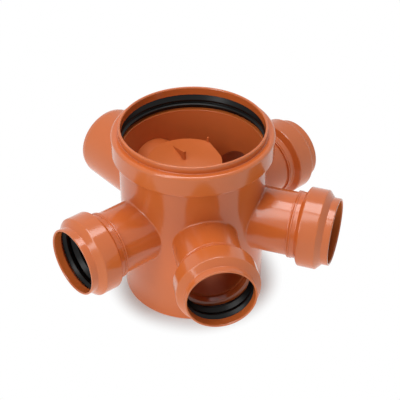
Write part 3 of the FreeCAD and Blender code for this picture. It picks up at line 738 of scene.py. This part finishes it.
@dataclass(frozen=True)
class GullyBody:
    """The one-piece moulded chamber with its riser socket, four inlet stubs and outlet spigot."""

    inlets: Sequence[Inlet]
    riser_bore: float
    outlet_radius: float
    outlet_height: float
    # The riser socket, with depths behind its mouth.
    mouth: float = 271.6
    groove: Groove = Groove(start=12.0, front=2.5, band=21.0, back=3.0, radius=110.2)
    bead_radius: float = 114.4
    bead_start: float = 9.0
    bead_start_round: float = 4.8
    bead_end: float = 40.0
    bead_end_round: float = 3.2
    shoulder_round: float = 4.0
    lip_radius: float = 103.9
    lip_round: float = 1.3
    lip_depth: float = 10.4
    lip_root_round: float = 0.9
    lead_width: float = 0.8
    lead_depth: float = 1.6
    lead_round: float = 0.7
    edge_round: float = 0.6
    stop_start: float = 40.5
    stop_start_round: float = 30.0
    stop_end_round: float = 80.0
    # The outlet spigot, by distances from the chamber's axis.
    outlet_azimuth: float = math.pi / 2
    outlet_end: float = 201.7
    outlet_bore: float = 51.8
    outlet_taper_length: float = 7.0
    outlet_taper_drop: float = 1.9
    outlet_taper_round: float = 3.0
    outlet_edge_round: float = 0.5
    outlet_bore_round: float = 0.4
    outlet_steps: int = 112
    # The inlet stubs and the rings of their welds.
    stub_radius: float = 46.0
    stub_bore: float = 42.8
    stub_end: float = 154.0
    stub_steps: int = 96
    weld_radius: float = 48.7
    weld_width: float = 2.6
    weld_notch: float = 0.9
    weld_round: float = 0.9
    weld_root_round: float = 0.5
    weld_notch_round: float = 0.5
    # The tubes between the blends at the wall and the sections of the branches' ends.
    tube_end: float = 124.0
    tube_steps: int = 4
    blend: float = 2.5
    blend_steps: int = 7
    # The drum's wall, with the heights between which the branches pierce it, its foot and its floor.
    outside: Wall = Wall(low=0.0, low_radius=103.3, high=226.6, high_radius=105.6)
    inside: Wall = Wall(low=13.5, low_radius=97.8, high=200.1, high_radius=98.8)
    outside_low: float = 9.0
    outside_top: float = 214.0
    inside_low: float = 20.0
    inside_top: float = 198.2
    foot_round: float = 4.0
    floor_slope: float = 8.0
    floor_round: float = 2.0
    # How far past the floor and the groove a point still counts as shaped by the core.
    core_margin: float = 0.5
    # The mesh of the drum.
    columns: int = 216
    spacing: float = 3.1
    seam: float = math.radians(46.0)

    @property
    def floor_height(self) -> float:
        """The height of the floor inside."""
        return self.inside.low - self.floor_slope

    def branches(self) -> list[Branch]:
        """Lists the branches with the sections of their ends.

        Returns:
            The inlets' stubs in their order, then the outlet.
        """
        weld_start = self.stub_end - self.weld_width
        weld = (
            Corner(self.tube_end, self.stub_radius),
            Corner(weld_start, self.stub_radius, self.weld_root_round),
            Corner(weld_start, self.weld_radius, self.weld_round),
            Corner(self.stub_end - self.weld_notch, self.weld_radius, self.weld_notch_round),
            Corner(self.stub_end, self.weld_radius - self.weld_notch),
            Corner(self.stub_end, self.stub_bore),
            Corner(self.tube_end, self.stub_bore))
        spigot = (
            Corner(self.tube_end, self.outlet_radius),
            Corner(self.outlet_end - self.outlet_taper_length, self.outlet_radius, self.outlet_taper_round),
            Corner(self.outlet_end, self.outlet_radius - self.outlet_taper_drop, self.outlet_edge_round),
            Corner(self.outlet_end, self.outlet_bore, self.outlet_bore_round),
            Corner(self.tube_end, self.outlet_bore))
        made = [Branch(inlet.azimuth, inlet.height, self.stub_radius, self.stub_bore, weld, self.stub_steps)
                for inlet in self.inlets]
        made.append(Branch(self.outlet_azimuth, self.outlet_height, self.outlet_radius, self.outlet_bore,
                           spigot, self.outlet_steps))
        return made

    def socket(self) -> list[Corner]:
        """Draws the section of the riser socket.

        Returns:
            Its corners, from the wall's outside over the lip to the wall's inside.
        """
        bore, groove = self.riser_bore, self.groove
        return [
            Corner(self.outside_top, self.outside.radius(self.outside_top)),
            Corner(self.outside.high, self.outside.high_radius, self.shoulder_round),
            *behind(self.mouth, [
                (self.bead_end, self.bead_radius, self.bead_end_round),
                (self.bead_start, self.bead_radius, self.bead_start_round),
                (self.lip_depth, self.lip_radius, self.lip_root_round),
                (0.0, self.lip_radius, self.lip_round),
                (0.0, bore + self.lead_width, self.lead_round),
                (self.lead_depth, bore, self.edge_round),
                (groove.start, bore, self.edge_round),
                (groove.floor_start, groove.radius, self.edge_round),
                (groove.floor_end, groove.radius, self.edge_round),
                (groove.end, bore, self.edge_round),
                (self.stop_start, bore, self.stop_start_round)]),
            Corner(self.inside.high, self.inside.high_radius, self.stop_end_round),
            Corner(self.inside_top, self.inside.radius(self.inside_top))]

    def turned(self) -> list[list[Corner]]:
        """Draws the sections of what is turned about the drum's axis.

        Returns:
            The corners of the foot, of the riser socket and of the floor inside.
        """
        foot = [
            Corner(0.0, 0.0),
            Corner(0.0, self.outside.low_radius, self.foot_round),
            Corner(self.outside_low, self.outside.radius(self.outside_low))]
        floor = [
            Corner(self.inside_low, self.inside.radius(self.inside_low)),
            Corner(self.inside.low, self.inside.low_radius, self.floor_round),
            Corner(self.floor_height, self.inside.low_radius - self.floor_slope, self.floor_round),
            Corner(self.floor_height, 0.0)]
        return [foot, self.socket(), floor]

    def core_side(self, path: np.ndarray) -> np.ndarray:
        """Tells which points of a turned section the mould's core shapes: those inside, below the groove.

        Args:
            path: The section's rows of (along, out).

        Returns:
            One truth value for each row.
        """
        along, out = path.T
        above_floor = along > self.floor_height - self.core_margin
        below_groove = along < self.mouth - self.groove.end + self.core_margin
        return above_floor & below_groove & (out < self.riser_bore + NEAR)

    def build(self, material: bpy.types.Material) -> None:
        """Builds the closed skin.

        Args:
            material: The chamber's material.
        """
        skin = Skin()
        azimuths = self.seam + np.arange(self.columns + 1) * math.tau / self.columns
        ring = np.stack([np.cos(azimuths[:-1]), np.sin(azimuths[:-1]), np.zeros(self.columns)], axis=-1)
        for corners in self.turned():
            path = section(corners, closed=False)
            skin.strip([out * ring + (0.0, 0.0, along) for along, out in path], self.core_side(path))
        branches = self.branches()
        roots = [branch.root(self.outside, self.blend, self.blend_steps) for branch in branches]
        openings = [branch.opening(self.inside) for branch in branches]
        outer = PiercedWall(
            self.outside, self.outside_low, self.outside_top, azimuths, self.spacing, core=False)
        outer.build(skin, [rows[0] for rows in roots])
        inner = PiercedWall(
            self.inside, self.inside_low, self.inside_top, azimuths, self.spacing, core=True)
        inner.build(skin, openings)
        for branch, rows, opening in zip(branches, roots, openings):
            path = section(branch.end, closed=False)
            end = [branch.spots(along, out) for along, out in path]
            tube = [rows[-1] + (end[0] - rows[-1]) * k / self.tube_steps for k in range(1, self.tube_steps)]
            core = [False] * (len(rows) + len(tube)) + [*(path[:, 1] < branch.bore + NEAR), True]
            skin.strip([*rows, *tube, *end, opening], core)
        show(skin.piece("body_skin", material), Slot.PVC, "gully_body")


@dataclass(frozen=True)
class LipSeal:
    """A rubber seal in a socket's groove: a rib to the front, a valley, and the sealing lip on the pipe.

    The rib is set back from the groove's start, and the lip from the end of the groove's floor.
    """

    mouth: float
    groove: Groove
    bore: float
    pipe: float
    play: float = 0.2
    edge_round: float = 0.5
    valley_rise: float = 4.3
    valley_round: float = 1.0
    rib_setback: float = 9.1
    rib_width: float = 1.7
    rib_clearance: float = 0.4
    rib_round: float = 0.9
    lip_setback: float = 6.7
    lip_width: float = 1.4
    lip_foot: float = 4.2
    lip_round: float = 0.6
    lip_foot_round: float = 0.8

    def corners(self) -> list[Corner]:
        """Draws the seal's section.

        Returns:
            Its corners, from the front along the valleys to the back and then along the groove's floor.
        """
        groove = self.groove
        valley = self.bore + self.valley_rise
        share = self.valley_rise / (groove.radius - self.bore)
        toe = groove.start + groove.front * share + 2 * self.play
        heel = groove.floor_end + groove.back * (1 - share) - 2 * self.play
        rib = groove.start + self.rib_setback
        rib_end = rib + self.rib_width
        rib_top = self.bore + self.rib_clearance
        lip = groove.floor_end - self.lip_setback
        floor = groove.radius - self.play
        return behind(self.mouth, [
            (toe, valley, self.edge_round),
            (rib, rib_top, self.rib_round),
            (rib_end, rib_top, self.rib_round),
            (0.5 * (rib_end + lip), valley, self.valley_round),
            (lip, self.pipe, self.lip_round),
            (lip + self.lip_width, self.pipe, self.lip_round),
            (lip + self.lip_foot, valley, self.lip_foot_round),
            (heel, valley, self.edge_round),
            (groove.floor_end - self.play, floor, self.edge_round),
            (groove.floor_start + self.play, floor, self.edge_round)])


@dataclass(frozen=True)
class InletSocket:
    """A socket moulding welded on its stub, with the lip seal in its groove, by depths behind its mouth."""

    inlet: Inlet
    body: GullyBody
    mouth: float = 211.5
    pipe: float = 45.0
    groove: Groove = Groove(start=12.0, front=8.0, band=22.0, back=5.0, radius=54.0)
    groove_round: float = 1.0
    groove_start_round: float = 0.8
    lip_radius: float = 48.3
    lip_round: float = 1.2
    lip_depth: float = 10.0
    lip_root_round: float = 0.9
    lead_width: float = 0.75
    lead_depth: float = 1.5
    lead_round: float = 0.5
    edge_round: float = 0.6
    bead_radius: float = 57.2
    bead_start: float = 18.0
    bead_end: float = 43.5
    bead_round: float = 2.6
    neck_radius: float = 47.9
    neck_start: float = 48.5
    neck_round: float = 1.2
    weld_round: float = 0.6
    weld_root_round: float = 0.3
    weld_notch_round: float = 0.5
    bore_bevel: float = 0.6
    steps: int = 128

    def casing(self) -> list[Corner]:
        """Draws the moulding's section.

        Returns:
            Its corners, from the weld along the bore to the lip and back outside.
        """
        bore, groove, body = self.inlet.bore, self.groove, self.body
        joint = self.mouth - body.stub_end
        weld_end = joint - body.weld_width
        return behind(self.mouth, [
            (joint, bore + self.bore_bevel, 0.0),
            (joint - self.bore_bevel, bore, 0.0),
            (groove.end, bore, self.edge_round),
            (groove.floor_end, groove.radius, self.groove_round),
            (groove.floor_start, groove.radius, self.groove_round),
            (groove.start, bore, self.groove_start_round),
            (self.lead_depth, bore, self.edge_round),
            (0.0, bore + self.lead_width, self.lead_round),
            (0.0, self.lip_radius, self.lip_round),
            (self.lip_depth, self.lip_radius, self.lip_root_round),
            (self.bead_start, self.bead_radius, self.bead_round),
            (self.bead_end, self.bead_radius, self.bead_round),
            (self.neck_start, self.neck_radius, self.neck_round),
            (weld_end, self.neck_radius, self.weld_root_round),
            (weld_end, body.weld_radius, self.weld_round),
            (joint - body.weld_notch, body.weld_radius, self.weld_notch_round),
            (joint, body.weld_radius - body.weld_notch, 0.0)])

    def build(self, lathe: Lathe, pvc: bpy.types.Material, rubber: bpy.types.Material) -> None:
        """Turns the moulding and its seal.

        Args:
            lathe: What turns them.
            pvc: The moulding's material.
            rubber: The seal's material.
        """
        turn = Vector((0.0, math.pi / 2, self.inlet.azimuth))
        place = Vector((0.0, 0.0, self.inlet.height * MM))
        number = self.inlet.number
        casing = lathe.piece(f"socket_{number}_skin", self.casing(), turn, place, pvc, self.steps)
        show(casing, Slot.PVC, f"inlet_socket_{number}")
        ring = LipSeal(self.mouth, self.groove, self.inlet.bore, self.pipe)
        seal = lathe.piece(f"seal_{number}_skin", ring.corners(), turn, place, rubber, self.steps)
        show(seal, Slot.RUBBER, f"inlet_seal_{number}")


@dataclass(frozen=True)
class RiserSeal:
    """The large lip seal in the riser socket."""

    body: GullyBody
    pipe: float = 100.0
    steps: int = 216

    def build(self, lathe: Lathe, rubber: bpy.types.Material) -> None:
        """Turns the seal.

        Args:
            lathe: What turns it.
            rubber: Its material.
        """
        ring = LipSeal(self.body.mouth, self.body.groove, self.body.riser_bore, self.pipe)
        piece = lathe.piece("riser_seal_skin", ring.corners(), Vector(), Vector(), rubber, self.steps)
        show(piece, Slot.RUBBER, "riser_seal")


@dataclass(frozen=True)
class CadSkin:
    """A piece that keeps its CAD form and gets rounded edges, with angles in degrees."""

    node: str
    slot: Slot
    rounding: float
    segments: int = 3
    flat_angle: float = 0.6
    edge_angle: float = 40.0

    def build(self, material: bpy.types.Material) -> None:
        """Copies the CAD mesh, joins its faces and rounds its edges.

        Args:
            material: The piece's material.
        """
        mesh = frame["nodes"][self.node].data.copy()
        mesh.materials.clear()
        mesh.materials.append(material)
        name = self.node + "_skin"
        work = bmesh.new()
        work.from_mesh(mesh)
        bmesh.ops.remove_doubles(work, verts=work.verts, dist=MERGE * MM)
        flat = math.radians(self.flat_angle)
        bmesh.ops.dissolve_limit(work, angle_limit=flat, verts=work.verts, edges=work.edges)
        work.to_mesh(mesh)
        work.free()
        piece = bpy.data.objects.new(name, mesh)
        bpy.context.collection.objects.link(piece)
        rounded = piece.modifiers.new("rounded", "BEVEL")
        rounded.width = self.rounding * MM
        rounded.segments = self.segments
        rounded.limit_method = "ANGLE"
        rounded.angle_limit = math.radians(self.edge_angle)
        whole = bpy.data.meshes.new_from_object(piece.evaluated_get(bpy.context.evaluated_depsgraph_get()))
        piece.modifiers.clear()
        piece.data = own_mesh(name, whole, Edge.BEVELLED)
        bpy.data.meshes.remove(mesh)
        show(piece, self.slot, self.node)


# The studio

@dataclass(frozen=True)
class SoftBox:
    """A rectangular soft light that looks at the object, in metres and watts."""

    name: str
    place: tuple[float, float, float]
    width: float
    length: float
    power: float
    aim: tuple[float, float, float] = (0.0, 0.0, 0.15)

    def build(self, turn: Matrix) -> None:
        """Hangs the light.

        Args:
            turn: The turn from the camera's ground directions to the object's frame.
        """
        data = bpy.data.lights.new(self.name, "AREA")
        data.shape = "RECTANGLE"
        data.size, data.size_y = self.width, self.length
        data.energy = self.power
        lamp = bpy.data.objects.new(self.name, data)
        bpy.context.collection.objects.link(lamp)
        lamp.location = turn @ Vector(self.place)
        look = turn @ (Vector(self.aim) - Vector(self.place))
        lamp.rotation_euler = look.to_track_quat("-Z", "Y").to_euler()


@dataclass(frozen=True)
class Studio:
    """A white light table under soft light from above, and the camera of the picture."""

    # The camera, with its angles in degrees.
    yaw: float = -40.78
    elevation: float = 36.96
    roll: float = 0.06
    target_mm: tuple[float, float, float] = (9.75, 0.0, 141.43)
    distance_mm: float = 1457.86
    focal_pixels: float = 1000.0
    picture_pixels: int = 400
    sensor_mm: float = 36.0
    # The floor. Its shadow is full up to the start of the fade and gone at its end.
    floor_colour: str = "D4ECF4"
    floor_roughness: float = 0.9
    floor_white: float = 0.2
    floor_glow: float = 0.75
    floor_size: float = 8.0
    fade_start: float = 0.1
    fade_end: float = 0.14
    # The light.
    sky: float = 0.2
    lights: tuple[SoftBox, ...] = (
        SoftBox("key", place=(-0.79, -0.93, 1.37), width=0.6, length=2.0, power=16.0),
        SoftBox("overhead", place=(0.05, 0.1, 1.6), width=0.8, length=0.8, power=12.0))

    @property
    def turn(self) -> Matrix:
        """The turn from the camera's ground directions to the object's frame."""
        return Matrix.Rotation(math.radians(self.yaw), 3, "Z")

    def camera(self) -> None:
        """Sets the camera."""
        data = bpy.data.cameras.new("camera")
        data.sensor_width = self.sensor_mm
        data.lens = self.focal_pixels * self.sensor_mm / self.picture_pixels
        rise = math.radians(self.elevation)
        ahead = self.turn @ Vector((0.0, math.cos(rise), -math.sin(rise)))
        camera = bpy.data.objects.new("camera", data)
        bpy.context.collection.objects.link(camera)
        camera.location = (self.turn @ Vector(self.target_mm) - ahead * self.distance_mm) * MM
        tilt = Quaternion((0.0, 0.0, 1.0), math.radians(self.roll))
        camera.rotation_euler = (ahead.to_track_quat("-Z", "Y") @ tilt).to_euler()
        bpy.context.scene.camera = camera

    def floor(self) -> None:
        """Lays the white floor.

        The camera sees the object's shadow on it close by, and plain white further away. Other rays meet
        paper that also glows, as a light table does, and so lights the undersides.
        """
        mesh = bpy.data.meshes.new("floor")
        half = 0.5 * self.floor_size
        mesh.from_pydata([(-half, -half, 0.0), (half, -half, 0.0), (half, half, 0.0), (-half, half, 0.0)],
                         [], [(0, 1, 2, 3)])
        floor = bpy.data.objects.new("floor", mesh)
        bpy.context.collection.objects.link(floor)
        material = bpy.data.materials.new("white_paper")
        material.use_nodes = True
        tree = material.node_tree
        paper = tree.nodes["Principled BSDF"]
        paper.inputs["Base Color"].default_value = linear(self.floor_colour)
        paper.inputs["Roughness"].default_value = self.floor_roughness
        white = add_node(tree, "ShaderNodeEmission", {"Color": linear(WHITE)})
        place = add_node(tree, "ShaderNodeTexCoord").outputs["Object"]
        reach = add_node(tree, "ShaderNodeVectorMath", {0: place}, operation="LENGTH")
        fade = add_node(tree, "ShaderNodeMapRange", {
            "Value": reach.outputs["Value"], "From Min": self.fade_start, "From Max": self.fade_end,
            "To Min": self.floor_white, "To Max": 1.0}, interpolation_type="SMOOTHSTEP")
        ray = white_ray(tree)
        share = add_node(tree, "ShaderNodeMath", {0: ray, 1: fade.outputs["Result"]}, operation="MULTIPLY")
        seen = add_node(tree, "ShaderNodeMixShader", {
            0: share.outputs[0], 1: paper.outputs[0], 2: white.outputs[0]})
        strength = add_node(tree, "ShaderNodeMix", {
            "Factor": ray, NUMBER_A: self.floor_glow, NUMBER_B: 0.0}, data_type="FLOAT")
        glow = add_node(tree, "ShaderNodeEmission", {
            "Color": linear(WHITE), "Strength": strength.outputs[NUMBER_OUT]})
        lit = add_node(tree, "ShaderNodeAddShader", {0: seen.outputs[0], 1: glow.outputs[0]})
        tree.links.new(lit.outputs[0], tree.nodes["Material Output"].inputs["Surface"])
        mesh.materials.append(material)

    def surroundings(self) -> None:
        """Lights the white surroundings, which the camera sees as white."""
        world = bpy.data.worlds.new("surroundings")
        bpy.context.scene.world = world
        world.use_nodes = True
        tree = world.node_tree
        strength = add_node(tree, "ShaderNodeMix", {
            "Factor": white_ray(tree), NUMBER_A: self.sky, NUMBER_B: 1.0}, data_type="FLOAT")
        ground = tree.nodes["Background"]
        ground.inputs["Color"].default_value = linear(WHITE)
        tree.links.new(strength.outputs[NUMBER_OUT], ground.inputs["Strength"])

    def build(self) -> None:
        """Sets up the whole studio."""
        self.floor()
        self.surroundings()
        for light in self.lights:
            light.build(self.turn)
        self.camera()
        bpy.context.scene.view_settings.view_transform = "Standard"


def main() -> None:
    """Builds every part on the frame, then the studio."""
    logging.basicConfig(level=logging.INFO, format="%(message)s")
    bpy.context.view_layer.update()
    record = frame["record"]
    mounts = {mount["name"]: mount for mount in record["mounts"]}
    riser, outlet = mounts["riser_socket"], mounts["outlet"]
    pvc, rubber = MouldedPvc().material(), EpdmRubber().material()
    # The trap and its cap come from a mould with a matt finish, so they mirror nothing clearly.
    matt_pvc = MouldedPvc("matt_pvc_u", roughness=0.45).material()
    inlets = Inlet.from_record(record)
    lathe = Lathe()
    body = GullyBody(inlets, riser["dims"]["r_mm"], outlet["dims"]["r_mm"], outlet["pos_m"][2] / MM)
    body.build(pvc)
    for inlet in inlets:
        InletSocket(inlet, body).build(lathe, pvc, rubber)
    RiserSeal(body).build(lathe, rubber)
    CadSkin("trap_tee", Slot.PVC, rounding=0.6).build(matt_pvc)
    CadSkin("trap_cap", Slot.PVC, rounding=0.8).build(matt_pvc)
    for node in ("trap_ring", "cap_ring"):
        CadSkin(node, Slot.RUBBER, rounding=0.2).build(rubber)
    Studio().build()


if __name__ == "__main__":
    main()
